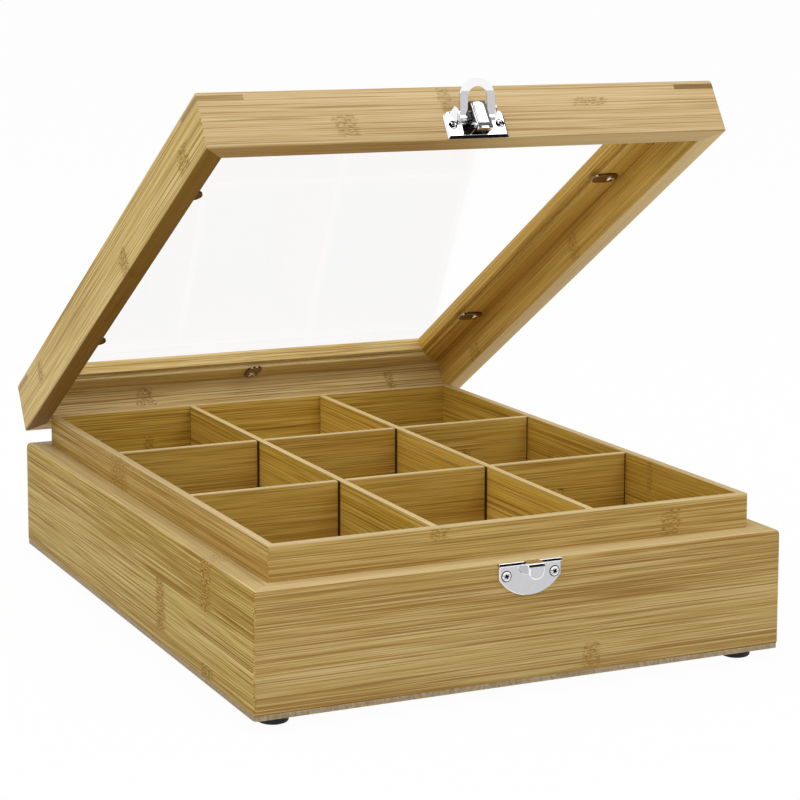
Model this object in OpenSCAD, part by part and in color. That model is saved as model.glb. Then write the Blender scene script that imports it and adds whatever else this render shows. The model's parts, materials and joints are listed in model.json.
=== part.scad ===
// Wooden organizer box with nine compartments and a glass lid
// All sizes are in millimetres. The origin is the middle of the bottom panel's
// underside, and the feet stand below it. The latch is on the -Y side and the
// hinges are on the +Y side.
// The lid is drawn part open, at the angle lid_open.

/* [Box] */
// Width of the box, left to right
box_w = 240; // [200:1:300]
// Depth of the box, front to back
box_d = 308; // [260:1:360]
// Height from the underside of the bottom panel to the ledge that the lid rests on
box_h = 51.5; // [45:0.5:70]
// Thickness of the outer walls, which is the width of the ledge
wall_t = 10; // [9.8:0.1:12]
// Thickness of the plywood bottom panel
bottom_t = 2.2; // [1.5:0.1:4]
// Thickness of the inner liner boards
liner_t = 3.4; // [3:0.1:4.5]
// Height of the liner above the ledge
liner_rise = 14.6; // [12:0.1:15]

/* [Dividers] */
// Thickness of the divider boards
div_t = 3; // [2:0.1:4]
// How far the divider tops lie below the top of the liner
div_drop = 0.5; // [0.2:0.1:3]
// Width of the top slots in the cross dividers
slot_w = 4; // [3.4:0.1:5]

/* [Feet] */
// Diameter of a rubber foot
foot_d = 12.6; // [8:0.2:18]
// Height of a rubber foot
foot_h = 5; // [2:0.5:8]
// Distance from a foot's centre to the sides of the box
foot_inset = 13; // [8:0.5:24]

/* [Lid] */
// Angle at which the lid stands open
lid_open = 31.5; // [20:0.5:60]
// Height of the lid
lid_h = 25.2; // [23:0.1:28]
// Gap between the closed lid and the ledge
lid_gap = 0.3; // [0.2:0.05:0.5]
// Thickness of the lid's side walls
rim_t = 9.4; // [8.6:0.1:9.4]
// Depth of the lid's inside, below its flange
lid_inside = 16.3; // [15.9:0.1:17.5]
// Distance from the lid's outer face to the window opening
window_inset = 25; // [24:0.5:32]
// Width of the step that the glass lies in
rabbet_w = 3; // [2:0.5:5]
// Depth of the step that the glass lies in
rabbet_h = 2.2; // [2.1:0.1:3]
// Thickness of the glass
glass_t = 2; // [1.5:0.1:2]
// Length of a corner key along each face
key_leg = 20; // [12:0.5:24]
// Thickness of a corner key
key_t = 2.4; // [1.5:0.1:3]

/* [Hinges] */
// Distance of the hinge axis behind the back face
axis_out = 9.4; // [8:0.2:12]
// Distance of each hinge's middle from the middle of the box
hinge_x = 74; // [50:1:95]
// Length of a hinge along its axis
hinge_w = 34; // [26:1:44]
// Radius of a hinge's barrel
barrel_r = 2.6; // [2.2:0.1:3]

/* [Latch] */
// Sideways place of the latch
latch_x = -0.6; // [-0.9:0.1:-0.2]
// Sideways place of the keeper
keeper_x = -0.6; // [-0.7:0.1:0]
// Width of the latch plate
plate_w = 28; // [26:0.5:32]
// Height of the latch plate
plate_h = 12.5; // [12:0.5:14]
// Width of the lever
lever_w = 7; // [6.6:0.1:7]
// Outer width of the loop
loop_w = 16; // [15.5:0.1:16]
// Width of the loop's strip
loop_strip = 3.5; // [3:0.1:3.5]
// Angle at which the loop stands away from the lid's front face
loop_tilt = 31.5; // [20:0.5:60]

/* [Hidden] */
$fn = 48;

tiny = 0.01;                                // oversize of the cutting bodies
fit = 0.05;                                 // clearance round screws and pins
bamboo = [0.78, 0.62, 0.38];
bamboo_light = [0.84, 0.7, 0.47];
bamboo_inside = [0.68, 0.52, 0.26];
plywood = [0.7, 0.63, 0.5];
chrome = [0.85, 0.86, 0.88];
rubber = [0.08, 0.08, 0.08];

// Levels above the bottom panel's underside
z_floor = bottom_t;                         // floor of the compartments
z_ledge = box_h;                            // ledge that the lid rests on
z_liner = z_ledge + liner_rise;             // top of the liner
z_div = z_liner - div_drop;                 // top of the dividers
z_rim = z_ledge + lid_gap;                  // lower edge of the closed lid

// Inside of the liner
in_w = box_w - 2 * (wall_t + liner_t);
in_d = box_d - 2 * (wall_t + liner_t);
cell_w = (in_w - 2 * div_t) / 3;            // inside width of a compartment
cell_d = (in_d - 2 * div_t) / 3;            // inside depth of a compartment
div_x = (cell_w + div_t) / 2;               // the lengthwise dividers lie at x = +-div_x
div_y = (cell_d + div_t) / 2;               // the cross dividers lie at y = +-div_y
half_z = (z_floor + z_div) / 2;             // level where crossing dividers meet

// Lid levels above its own lower edge
z_step = lid_inside + rabbet_h;             // where the glass rests on the flange
key_z = 20.9;                               // underside of the corner keys
glass_inset = window_inset - rabbet_w;

// Hinge axis
axis_y = box_d / 2 + axis_out;
axis_z = z_ledge;
leaf_t = 1.2;                               // thickness of the hinge leaves
leaf_h = 15;                                // height of the hinge leaves
hpin_r = 1.2;                               // radius of the hinge pins

// Latch, in the lid's front plane: s is the distance out of the face
plate_t = 1.4;                              // thickness of the latch plate
plate_bevel = 1.2;                          // width of its sloping edges
plate_z = z_rim + 0.2;                      // lower edge of the latch plate
lever_s = 6.2;                              // distance of the lever's axis from the face
lever_z = z_ledge + 3.4;
loop_s = 3;                                 // distance of the loop's axis from the face
loop_z = z_ledge + 8.6;                     // height of the loop's axis on the closed latch
pin_r = 0.8;
lever_r = 2.4;                              // radius of the lever's round heel
lever_top = z_ledge + 14.2;
sheet = 0.8;                                // thickness of the lever's sheet
loop_len = 16.5;                            // from the loop's axis to the end of its arch
loop_bend = 11.2;                           // from the loop's axis to the bend below its arch
bend_angle = 10;                            // the arch leans back by this angle
loop_t = 1;
screw_head_r = 2.1;
latch_screw_x = 11.2;
latch_screw_z = z_ledge + 6.6;

// Keeper
keeper_w = 28.4;
keeper_top = z_ledge - 0.3;
keeper_drop = 14.4;
keeper_round = 16.9;
keeper_t = 1;                               // thickness of the keeper plate
tongue_w = 7.8;
tongue_s = 5.9;
tongue_sheet = 0.9;
tongue_drop = 6.9;
keeper_screw_x = 11.1;
keeper_screw_z = z_ledge - 5.7;

// Glass clips
clip_l = 13;
clip_w = 7.6;
clip_t = 1.2;
clip_hole = 4;                              // from the clip's outer end to its screw
clip_inset = 15.6;                          // from the lid's outer face to the screw
clip_y = 79;                                // place of the side clips
clip_head_r = 1.8;

// Helpers

// One side of a mitred frame, as a flat trapezoid along X at y = -d/2
module mitre_plan(w, d, t) {
    polygon([[-w / 2, -d / 2], [w / 2, -d / 2], [w / 2 - t, -d / 2 + t], [-w / 2 + t, -d / 2 + t]]);
}

// The same trapezoid turned to side 0 front, 1 right, 2 back or 3 left
module side_plan(side, w, d, t) {
    turned = side % 2 == 1;
    rotate(90 * side) mitre_plan(turned ? d : w, turned ? w : d, t);
}

// A board of a mitred frame between two levels
module frame_board(side, w, d, t, z0, z1) {
    translate([0, 0, z0]) linear_extrude(z1 - z0) side_plan(side, w, d, t);
}

// Moves a closed lid piece to where it stands with the lid open
module open_lid() {
    translate([0, axis_y, axis_z]) rotate([-lid_open, 0, 0]) translate([0, -axis_y, -axis_z]) children();
}

// A cylinder along X, from x0 to x1
module rod_x(r, x0, x1) {
    translate([x0, 0, 0]) rotate([0, 90, 0]) cylinder(r = r, h = x1 - x0);
}

// A cylinder that points out of a face, towards -Y, from depth a to depth b
module rod_out(r, a, b) {
    translate([0, -a, 0]) rotate([90, 0, 0]) cylinder(r = r, h = b - a);
}

// Puts a side outline, drawn as [distance out of the front face, height], across X
module across(x0, x1) {
    translate([x0, -box_d / 2, 0]) rotate([90, 0, 90]) linear_extrude(x1 - x0) mirror([1, 0]) children();
}

// A screw with an oval head and a cross recess, its head's underside at the origin, head towards +Z
module screw(head_r, head_h, shank_r, shank_l) {
    ball_r = (head_r * head_r + head_h * head_h) / (2 * head_h);
    difference() {
        union() {
            intersection() {
                translate([0, 0, head_h - ball_r]) sphere(r = ball_r);
                cylinder(r = head_r, h = head_h);
            }
            translate([0, 0, -shank_l]) cylinder(r = shank_r, h = shank_l + 0.1);
        }
        for (a = [0, 90])
            rotate(a + 30) translate([-head_r * 0.6, -head_r * 0.13, head_h * 0.35])
                cube([head_r * 1.2, head_r * 0.26, head_h]);
    }
}

// Box

module body_wall(side) {
    color(bamboo) difference() {
        frame_board(side, box_w, box_d, wall_t, z_floor, z_ledge);
        if (side == 0)
            for (i = [-1, 1])
                translate([keeper_x + i * keeper_screw_x, -box_d / 2, keeper_screw_z])
                    rod_out(0.9 + fit, -7, 1);
        if (side == 2)
            for (i = [-1, 1]) hinge_holes(i);
    }
}

// Holes for the screws of one hinge's base leaf
module hinge_holes(i) {
    for (j = [-1, 1])
        translate([i * hinge_x + j * hinge_w * 0.3, box_d / 2, axis_z - 9.5])
            rotate([90, 0, 0]) translate([0, 0, -1]) cylinder(r = 1.1 + fit, h = 9);
}

module liner(side) {
    color(bamboo_inside) frame_board(side, box_w - 2 * wall_t, box_d - 2 * wall_t, liner_t, z_floor, z_liner);
}

// Lengthwise divider, slotted from below over the cross dividers
module divider_long(i) {
    color(bamboo_inside) difference() {
        translate([i * div_x - div_t / 2, -in_d / 2, z_floor]) cube([div_t, in_d, z_div - z_floor]);
        for (j = [-1, 1])
            translate([i * div_x - slot_w, j * div_y - div_t / 2 - 0.1, z_floor - tiny])
                cube([2 * slot_w, div_t + 0.2, half_z - z_floor + tiny]);
    }
}

// Cross divider, slotted from above; each slot is wider than the divider that stands in it
module divider_cross(j) {
    color(bamboo_inside) difference() {
        translate([-in_w / 2, j * div_y - div_t / 2, z_floor]) cube([in_w, div_t, z_div - z_floor]);
        for (i = [-1, 1])
            translate([i * div_x + div_t / 2 - slot_w + 0.1, j * div_y - div_t, half_z])
                cube([slot_w, 2 * div_t, z_div - half_z + tiny]);
    }
}

module bottom_panel() {
    color(plywood) translate([-box_w / 2, -box_d / 2, 0]) cube([box_w, box_d, bottom_t]);
}

module foot(i, j) {
    color(rubber) translate([i * (box_w / 2 - foot_inset), j * (box_d / 2 - foot_inset), -foot_h]) {
        cylinder(r1 = foot_d / 2 - 0.4, r2 = foot_d / 2, h = 0.5);
        translate([0, 0, 0.5]) cylinder(r = foot_d / 2, h = foot_h - 0.5);
    }
}

// Keeper on the front wall, with a hook that opens downwards

module keeper_plate() {
    color(chrome) translate([keeper_x, 0, 0]) difference() {
        union() {
            // Plate with straight sides and a round lower edge
            translate([0, -box_d / 2, 0]) rotate([90, 0, 0]) linear_extrude(keeper_t) intersection() {
                translate([-keeper_w / 2, keeper_top - keeper_drop]) square([keeper_w, keeper_drop]);
                translate([0, keeper_top - keeper_drop + keeper_round]) circle(r = keeper_round, $fn = 96);
            }
            // Bead along the upper edge
            translate([0, -box_d / 2 - 0.8, keeper_top - 0.8]) rod_x(0.8, -keeper_w / 2, keeper_w / 2);
            // Shelf that carries the tongue
            across(-tongue_w / 2, tongue_w / 2)
                polygon([[0.6, keeper_top], [tongue_s - 0.9, keeper_top], [tongue_s, keeper_top - 0.9],
                    [tongue_s - tongue_sheet, keeper_top - 1.6], [0.6, keeper_top - 1.6]]);
            // Tongue with a round lower end
            translate([0, -box_d / 2 - tongue_s + tongue_sheet, 0]) rotate([90, 0, 0]) linear_extrude(tongue_sheet)
                intersection() {
                    translate([-tongue_w / 2, keeper_top - tongue_drop]) square([tongue_w, tongue_drop - 0.9]);
                    union() {
                        translate([-tongue_w / 2, keeper_top - tongue_drop + tongue_w / 2])
                            square([tongue_w, tongue_w]);
                        translate([0, keeper_top - tongue_drop + tongue_w / 2]) circle(r = tongue_w / 2);
                    }
                }
        }
        for (i = [-1, 1])
            translate([i * keeper_screw_x, -box_d / 2, keeper_screw_z]) rod_out(0.9 + fit, -1, 2);
    }
}

module keeper_screw(i) {
    color(chrome) translate([keeper_x + i * keeper_screw_x, -box_d / 2 - keeper_t, keeper_screw_z])
        rotate([90, i * 14, 0]) screw(screw_head_r, 0.9, 0.9, 7);
}

// Hinges, one leaf on the box and one on the lid; i is -1 for the left one, 1 for the right one

// Barrel pieces of one leaf between the given fractions of the hinge's length
module barrel(i, parts) {
    for (p = parts)
        translate([i * hinge_x, axis_y, axis_z])
            rod_x(barrel_r, hinge_w * p[0], hinge_w * p[1]);
}

// Flat leaf with a web that reaches the barrel; up is 1 for the lid, -1 for the box
module leaf(i, up, parts) {
    z0 = up > 0 ? axis_z + 1.4 : axis_z - leaf_h;
    web_z = up > 0 ? axis_z + 1.4 : axis_z - barrel_r;
    difference() {
        union() {
            translate([i * hinge_x - hinge_w / 2, box_d / 2, z0]) cube([hinge_w, leaf_t, leaf_h - 1.4]);
            for (p = parts)
                translate([i * hinge_x + hinge_w * p[0], box_d / 2, web_z])
                    cube([hinge_w * (p[1] - p[0]), axis_out, 1.2]);
            barrel(i, parts);
        }
        translate([i * hinge_x, axis_y, axis_z]) rod_x(hpin_r + fit, -hinge_w, hinge_w);
        for (j = [-1, 1])
            translate([i * hinge_x + j * hinge_w * 0.3, box_d / 2, axis_z + up * 9.5])
                rotate([90, 0, 0]) translate([0, 0, -3]) cylinder(r = 1.1 + fit, h = 6);
    }
}

// Lengths of the barrel that belong to each leaf, as fractions of the hinge's length
base_parts = [[-0.5, -0.31], [-0.09, 0.09], [0.31, 0.5]];
lid_parts = [[-0.3, -0.1], [0.1, 0.3]];

module hinge_base_leaf(i) {
    color(chrome) leaf(i, -1, base_parts);
}

module hinge_lid_leaf(i) {
    color(chrome) open_lid() leaf(i, 1, lid_parts);
}

module hinge_pin(i) {
    color(chrome) translate([i * hinge_x, axis_y, axis_z]) {
        rod_x(hpin_r, -hinge_w / 2 - 0.6, hinge_w / 2 + 0.6);
        rod_x(hpin_r + 0.6, -hinge_w / 2 - 1.2, -hinge_w / 2 - 0.1);
        rod_x(hpin_r + 0.6, hinge_w / 2 + 0.1, hinge_w / 2 + 1.2);
    }
}

// The two screws of one leaf
module leaf_screws(i, up) {
    for (j = [-1, 1])
        translate([i * hinge_x + j * hinge_w * 0.3, box_d / 2 + leaf_t, axis_z + up * 9.5])
            rotate([-90, j * 20, 0]) screw(2.2, 0.9, 1.1, 8);
}

module hinge_base_screws(i) {
    color(chrome) leaf_screws(i, -1);
}

module hinge_lid_screws(i) {
    color(chrome) open_lid() leaf_screws(i, 1);
}

// Lid, drawn closed and then opened by open_lid()

// Triangular key across a corner, with i for left or right and j for front or back
module key_shape(i, j, leg, z, t) {
    translate([i * box_w / 2, j * box_d / 2, z]) linear_extrude(t)
        polygon([[0, 0], [-i * leg, 0], [0, -j * leg]]);
}

module lid_rail(side) {
    color(bamboo_light) open_lid() difference() {
        union() {
            frame_board(side, box_w, box_d, rim_t, z_rim, z_rim + lid_inside);
            frame_board(side, box_w, box_d, glass_inset, z_rim + lid_inside, z_rim + z_step);
            frame_board(side, box_w, box_d, window_inset, z_rim + z_step, z_rim + lid_h);
        }
        for (i = [-1, 1], j = [-1, 1]) key_shape(i, j, key_leg, z_rim + key_z, key_t);
        for (c = clips) clip_screw_hole(c);
        if (side == 0)
            for (i = [-1, 1])
                translate([latch_x + i * latch_screw_x, -box_d / 2, latch_screw_z]) rod_out(0.9 + fit, -7, 1);
        if (side == 2)
            for (i = [-1, 1], j = [-1, 1])
                translate([i * hinge_x + j * hinge_w * 0.3, box_d / 2, axis_z + 9.5])
                    rotate([90, 0, 0]) translate([0, 0, -1]) cylinder(r = 1.1 + fit, h = 9);
    }
}

module corner_key(i, j) {
    color(bamboo) open_lid() key_shape(i, j, key_leg, z_rim + key_z, key_t);
}

module glass_pane() {
    gap = 0.3;
    w = box_w - 2 * (glass_inset + gap);
    d = box_d - 2 * (glass_inset + gap);
    color([0.85, 0.93, 0.93, 0.35]) open_lid()
        translate([-w / 2, -d / 2, z_rim + z_step - glass_t]) cube([w, d, glass_t]);
}

// Glass clips: side 0 front, 1 right, 2 back, 3 left, and the place along that side
clips = [[0, 0], [1, -clip_y], [1, clip_y], [2, 0], [3, -clip_y], [3, clip_y]];

// Moves a piece from the middle of the front rail's underside to a clip's place
module at_clip(c) {
    turned = c[0] % 2 == 1;
    rotate(90 * c[0]) translate([(c[0] == 3 ? -1 : 1) * c[1], -(turned ? box_w : box_d) / 2 + clip_inset,
        z_rim + lid_inside]) children();
}

module clip_screw_hole(c) {
    at_clip(c) translate([0, 0, -2]) cylinder(r = 0.75 + fit, h = 8);
}

// Flat oval clip that reaches over the edge of the glass
module clip(c) {
    color(chrome) open_lid() at_clip(c) translate([0, 0, -clip_t]) difference() {
        linear_extrude(clip_t - 0.05) union() {
            circle(r = clip_w / 2);
            translate([-clip_w / 2, 0]) square([clip_w, clip_l - clip_w]);
            translate([0, clip_l - clip_w]) circle(r = clip_w / 2);
        }
        translate([0, 0, -1]) cylinder(r = 0.75 + fit, h = 4);
    }
}

module clip_screw(c) {
    color(chrome) open_lid() at_clip(c) translate([0, 0, -clip_t]) rotate([180, 0, 0])
        screw(clip_head_r, 0.7, 0.75, 6.5);
}

// Latch on the lid's front rail

// Places a piece drawn round an axis that lies s out of the face, at height z on the closed lid
module at_axis(s, z) {
    translate([latch_x, -box_d / 2 - s, z]) children();
}

module latch_plate() {
    color(chrome) open_lid() translate([latch_x, 0, 0]) difference() {
        union() {
            // Base plate with round upper corners, its side and lower edges sloping
            difference() {
                translate([0, -box_d / 2, plate_z]) rotate([90, 0, 0]) linear_extrude(plate_t) union() {
                    translate([-plate_w / 2, 0]) square([plate_w, plate_h - 2.5]);
                    translate([-plate_w / 2 + 2.5, 0]) square([plate_w - 5, plate_h]);
                    for (i = [-1, 1]) translate([i * (plate_w / 2 - 2.5), plate_h - 2.5]) circle(r = 2.5);
                }
                for (i = [-1, 1])
                    translate([i * plate_w / 2, -box_d / 2 - plate_t + plate_bevel, plate_z - 1])
                        rotate(i * 45) translate([-5, -10, 0]) cube([10, 10, plate_h + 2]);
                across(-plate_w, plate_w)
                    polygon([[plate_t - plate_bevel, plate_z], [plate_t + 1, plate_z + plate_bevel + 1],
                        [plate_t + 1, plate_z - 1], [plate_t - plate_bevel, plate_z - 1]]);
            }
            for (i = [-1, 1]) {
                // Ear that carries the lever's pin
                translate([i * 3.85 - 0.25, 0, 0]) {
                    across(0, 0.5) translate([0.5, lever_z - 1.5]) square([lever_s - 0.5, 3]);
                    translate([0, -box_d / 2 - lever_s, lever_z]) rod_x(1.5, 0, 0.5);
                }
                // Wing beside the loop
                across(i * 8.6 - 0.3, i * 8.6 + 0.3)
                    polygon([[0.5, plate_z + 5], [0.5, plate_z + 12.2], [4.4, plate_z + 14], [5.2, plate_z + 13.4],
                        [5.2, plate_z + 12.4]]);
            }
        }
        for (i = [-1, 1])
            translate([i * latch_screw_x, -box_d / 2, latch_screw_z]) rod_out(0.9 + fit, -1, 2);
        translate([0, -box_d / 2 - lever_s, lever_z]) rod_x(pin_r, -6, 6);
    }
}

module latch_screw(i) {
    color(chrome) open_lid() translate([latch_x + i * latch_screw_x, -box_d / 2 - plate_t, latch_screw_z])
        rotate([90, i * 25, 0]) screw(screw_head_r, 0.9, 0.9, 7);
}

module lever_pin() {
    color(chrome) open_lid() at_axis(lever_s, lever_z) rod_x(pin_r, -4.2, 4.2);
}

// Side outline of the lever: a round heel and walls that reach back to the loop's axis
module lever_side() {
    front = lever_s + lever_r;
    translate([lever_s, lever_z]) circle(r = lever_r);
    polygon([[front, lever_z], [front, lever_top], [front - 3.6, lever_top], [loop_s - 1.4, loop_z + 1.6],
        [loop_s - 1.4, loop_z - 1.2], [lever_s - lever_r + 0.3, lever_z]]);
}

// Side outline of the hollow in the lever, open towards the plate
module lever_hollow() {
    front = lever_s + lever_r - sheet;
    translate([lever_s, lever_z]) circle(r = lever_r - sheet);
    translate([0, lever_z]) square([front, lever_top - sheet - lever_z]);
}

module latch_lever() {
    color(chrome) open_lid() translate([latch_x, 0, 0]) difference() {
        intersection() {
            across(-lever_w / 2, lever_w / 2) lever_side();
            // Front outline with round upper corners
            rotate([90, 0, 0]) linear_extrude(box_d) union() {
                translate([-lever_w / 2, z_ledge]) square([lever_w, lever_top - z_ledge - 2.4]);
                translate([-lever_w / 2 + 2.4, z_ledge]) square([lever_w - 4.8, lever_top - z_ledge]);
                for (i = [-1, 1]) translate([i * (lever_w / 2 - 2.4), lever_top - 2.4]) circle(r = 2.4);
            }
        }
        across(-lever_w / 2 + sheet, lever_w / 2 - sheet) lever_hollow();
        translate([0, -box_d / 2 - lever_s, lever_z]) rod_x(pin_r + fit, -6, 6);
        translate([0, -box_d / 2 - loop_s, loop_z]) rod_x(pin_r, -6, 6);
    }
}

module loop_pin() {
    color(chrome) open_lid() at_axis(loop_s, loop_z) rod_x(pin_r, -loop_w / 2 + 0.1, loop_w / 2 - 0.1);
}

// Outline of the loop, a strip bent to a U, kept between two distances from its axis
module loop_strip_between(z0, z1) {
    inner = loop_w / 2 - loop_strip;
    rotate([90, 0, 0]) translate([0, 0, -loop_t / 2]) linear_extrude(loop_t) intersection() {
        difference() {
            union() {
                translate([-loop_w / 2, 0]) square([loop_w, loop_len - loop_w / 2]);
                translate([0, loop_len - loop_w / 2]) circle(r = loop_w / 2);
            }
            translate([-inner, -3]) square([2 * inner, loop_len - loop_strip - inner + 3]);
            translate([0, loop_len - loop_strip - inner]) circle(r = inner);
        }
        translate([-loop_w, z0]) square([2 * loop_w, z1 - z0]);
    }
}

module latch_loop() {
    inner = loop_w / 2 - loop_strip;
    color(chrome) open_lid() at_axis(loop_s, loop_z) rotate([loop_tilt, 0, 0]) difference() {
        union() {
            loop_strip_between(0, loop_bend);
            // The arch leans back from the bend
            translate([0, 0, loop_bend]) rotate([-bend_angle, 0, 0]) translate([0, 0, -loop_bend])
                loop_strip_between(loop_bend - 0.1, loop_len);
            // Eyes at the ends of the legs
            for (i = [-1, 1])
                rod_x(1.3, i > 0 ? inner : -loop_w / 2, i > 0 ? loop_w / 2 : -inner);
        }
        rod_x(pin_r + fit, -loop_w, loop_w);
    }
}

body_wall(0);  // body_front_wall
body_wall(1);  // body_right_wall
body_wall(2);  // body_back_wall
body_wall(3);  // body_left_wall
liner(0);  // liner_front
liner(1);  // liner_right
liner(2);  // liner_back
liner(3);  // liner_left
divider_long(-1);  // divider_long_left
divider_long(1);  // divider_long_right
divider_cross(-1);  // divider_cross_front
divider_cross(1);  // divider_cross_back
bottom_panel();
foot(-1, -1);  // foot_front_left
foot(1, -1);  // foot_front_right
foot(-1, 1);  // foot_back_left
foot(1, 1);  // foot_back_right
keeper_plate();
keeper_screw(-1);  // keeper_screw_left
keeper_screw(1);  // keeper_screw_right
hinge_base_leaf(-1);  // hinge_left_base_leaf
hinge_base_leaf(1);  // hinge_right_base_leaf
hinge_pin(-1);  // hinge_left_pin
hinge_pin(1);  // hinge_right_pin
hinge_base_screws(-1);  // hinge_left_base_screws
hinge_base_screws(1);  // hinge_right_base_screws
lid_rail(0);  // lid_front_rail
lid_rail(1);  // lid_right_rail
lid_rail(2);  // lid_back_rail
lid_rail(3);  // lid_left_rail
corner_key(-1, -1);  // key_front_left
corner_key(1, -1);  // key_front_right
corner_key(-1, 1);  // key_back_left
corner_key(1, 1);  // key_back_right
glass_pane();
clip(clips[0]);  // clip_front
clip(clips[1]);  // clip_right_front
clip(clips[2]);  // clip_right_back
clip(clips[3]);  // clip_back
clip(clips[4]);  // clip_left_front
clip(clips[5]);  // clip_left_back
clip_screw(clips[0]);  // clip_screw_front
clip_screw(clips[1]);  // clip_screw_right_front
clip_screw(clips[2]);  // clip_screw_right_back
clip_screw(clips[3]);  // clip_screw_back
clip_screw(clips[4]);  // clip_screw_left_front
clip_screw(clips[5]);  // clip_screw_left_back
hinge_lid_leaf(-1);  // hinge_left_lid_leaf
hinge_lid_leaf(1);  // hinge_right_lid_leaf
hinge_lid_screws(-1);  // hinge_left_lid_screws
hinge_lid_screws(1);  // hinge_right_lid_screws
latch_plate();
latch_screw(-1);  // latch_screw_left
latch_screw(1);  // latch_screw_right
lever_pin();
latch_lever();
loop_pin();
latch_loop();
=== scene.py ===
# A bamboo organizer box with nine compartments, a lid with a glass window and a draw latch.
# Metres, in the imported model's frame: +Z is up, the latch is on the -Y side, the hinges on the +Y side.
import json
import math

import bmesh
import bpy
from mathutils import Matrix, Quaternion, Vector
from mathutils.geometry import tessellate_polygon


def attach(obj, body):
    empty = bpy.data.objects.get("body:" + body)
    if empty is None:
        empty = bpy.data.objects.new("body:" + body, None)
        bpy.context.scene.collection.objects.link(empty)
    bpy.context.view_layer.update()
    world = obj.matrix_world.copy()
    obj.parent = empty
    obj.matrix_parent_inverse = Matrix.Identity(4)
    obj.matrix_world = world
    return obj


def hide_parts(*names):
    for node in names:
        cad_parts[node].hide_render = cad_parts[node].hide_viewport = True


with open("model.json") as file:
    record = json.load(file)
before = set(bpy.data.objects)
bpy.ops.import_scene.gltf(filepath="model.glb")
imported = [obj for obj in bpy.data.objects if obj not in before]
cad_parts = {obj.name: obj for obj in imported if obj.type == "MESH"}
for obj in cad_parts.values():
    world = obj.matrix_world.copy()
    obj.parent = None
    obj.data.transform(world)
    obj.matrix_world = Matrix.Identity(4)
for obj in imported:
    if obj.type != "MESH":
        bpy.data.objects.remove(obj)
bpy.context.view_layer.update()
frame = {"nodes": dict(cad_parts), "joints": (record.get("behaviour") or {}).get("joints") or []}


# Outer walls
# Four laminated bamboo boards, 10 mm thick, glued at mitred corners.
# Their upper outer edge is rounded, and the lid rests on their top.
MM = 0.001
BOX_WIDTH, BOX_DEPTH = 240, 308
PANEL_TOP, LEDGE = 2.2, 51.5
WALL, WALL_CORNER, CORNER_STEPS = 10, 1.2, 4
MERGED = 0.0005
SIDES = ("front", "right", "back", "left")


def eased_outline(corners, steps=4):
    """An outline whose corners, each (across, up, radius), are turned into arcs."""
    outline = []
    for i, (across, up, radius) in enumerate(corners):
        corner = Vector((across, up))
        if not radius:
            outline.append(corner)
            continue
        back = (Vector(corners[i - 1][:2]) - corner).normalized()
        on = (Vector(corners[(i + 1) % len(corners)][:2]) - corner).normalized()
        half = back.angle(on) / 2
        centre = corner + (back + on).normalized() * radius / math.sin(half)
        start = corner + back * radius / math.tan(half) - centre
        turn = start.angle_signed(corner + on * radius / math.tan(half) - centre)
        for k in range(steps + 1):
            outline.append(centre + Matrix.Rotation(-turn * k / steps, 2) @ start)
    return outline


def skin_over(rings):
    """A closed skin over rings of points in millimetres, each ring with the same number of points."""
    shape = bmesh.new()
    rows = [[shape.verts.new(point) for point in ring] for ring in rings]
    count = len(rows[0])
    for row, ahead in zip(rows, rows[1:]):
        for i in range(count):
            j = (i + 1) % count
            shape.faces.new((row[i], row[j], ahead[j], ahead[i]))
    shape.faces.new(rows[0])
    shape.faces.new(rows[-1])
    return shape


def mitred_board(side, width, depth, outline, corner):
    """One board of a mitred frame; side 0 is the front, 1 right, 2 back, 3 left.

    The outline gives (inset from the outer face, height). corner is the radius of the frame's corners."""
    length, apart = (depth, width) if side % 2 else (width, depth)
    turn = Matrix.Rotation(side * math.pi / 2, 4, "Z")
    rings = []
    for end in (-1, 1):
        for k in range(CORNER_STEPS + 1):
            step = k if end < 0 else CORNER_STEPS - k
            angle = math.radians(225 + 45 * step / CORNER_STEPS)
            ring = []
            for inset, up in outline:
                reach = max(corner - inset, 0)
                to_centre = max(corner, inset)
                x = length / 2 - to_centre - reach * math.cos(angle)
                y = -apart / 2 + to_centre + reach * math.sin(angle)
                if inset >= corner:
                    x, y = length / 2 - inset, -apart / 2 + inset
                ring.append(turn @ Vector((end * x, y, up)))
            rings.append(ring)
    return skin_over(rings)


def finished(name, shape, material, body, *nodes, slot=None, move=None, bevel=0, sharp=32):
    """Turns a shape in millimetres into a piece that rides on its body and replaces the named solids.

    bevel is the width of the eased edges, and edges sharper than the angle sharp stay crisp."""
    bmesh.ops.remove_doubles(shape, verts=shape.verts, dist=MERGED)
    bmesh.ops.dissolve_degenerate(shape, edges=shape.edges, dist=MERGED)
    bmesh.ops.recalc_face_normals(shape, faces=shape.faces)
    if move:
        bmesh.ops.transform(shape, matrix=move, verts=shape.verts)
    bmesh.ops.scale(shape, vec=(MM, MM, MM), verts=shape.verts)
    mesh = bpy.data.meshes.new(name)
    shape.to_mesh(mesh)
    shape.free()
    mesh.shade_smooth()
    mesh.set_sharp_from_angle(angle=math.radians(sharp))
    mesh.materials.append(material)
    piece = bpy.data.objects.new(name, mesh)
    bpy.context.scene.collection.objects.link(piece)
    if bevel:
        ease = piece.modifiers.new("eased edges", "BEVEL")
        ease.width, ease.segments = bevel * MM, 3
        ease.limit_method, ease.angle_limit = "ANGLE", math.radians(35)
        ease.harden_normals = False
    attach(piece, body)
    if nodes:
        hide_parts(*nodes)
    return piece


def tone(red, green, blue):
    """A colour from its 0 to 255 screen values."""
    def linear(value):
        return value / 3294.6 if value < 10.4 else ((value / 255 + 0.055) / 1.055) ** 2.4
    return (linear(red), linear(green), linear(blue), 1)


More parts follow.
